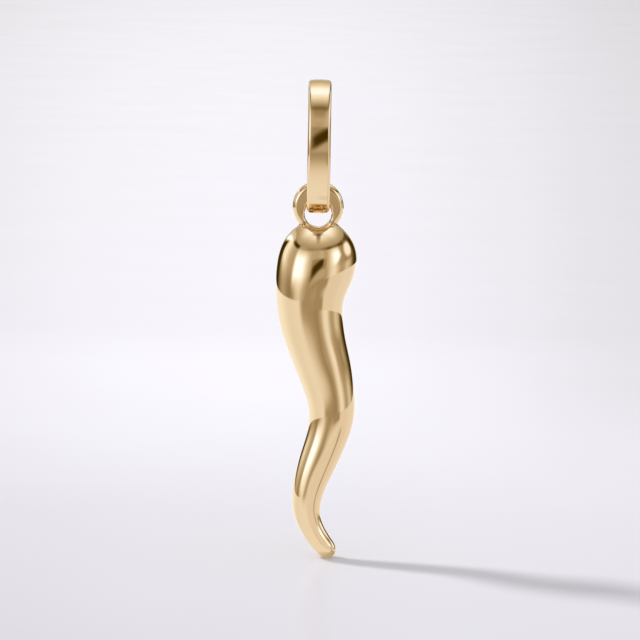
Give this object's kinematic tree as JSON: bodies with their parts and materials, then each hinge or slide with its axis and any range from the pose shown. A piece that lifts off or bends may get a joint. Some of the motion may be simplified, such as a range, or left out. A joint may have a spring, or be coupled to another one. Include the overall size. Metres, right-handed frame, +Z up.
{
  "type": "cornicello horn pendant",
  "caption": "S-curved gold horn charm with a soldered eye ring, hung in a plain oval bail that takes a chain.",
  "frame": {"origin": "middle of the bail's inside top, where a chain bears and the pendant hangs", "axes": "+Z up along the bail and against the hanging horn; the bail's loop lies in the YZ plane; +Y away from the viewer, along the eye's hole and against the horn's bow; +X to the viewer's right, the way the tip points"},
  "size_m": [0.0067, 0.0073, 0.0397],
  "materials": {
    "gold": "18 ct yellow gold, high polish"
  },
  "bodies": {
    "bail": {"bail": "gold"},
    "horn": {"horn": "gold"}
  },
  "joints": [
    {"name": "horn_swing", "type": "hinge", "parent": "bail", "child": "horn", "pos_m": [0, 0, -0.0105], "axis": [0, 1, 0], "range_deg": [-85, 85]}
  ]
}
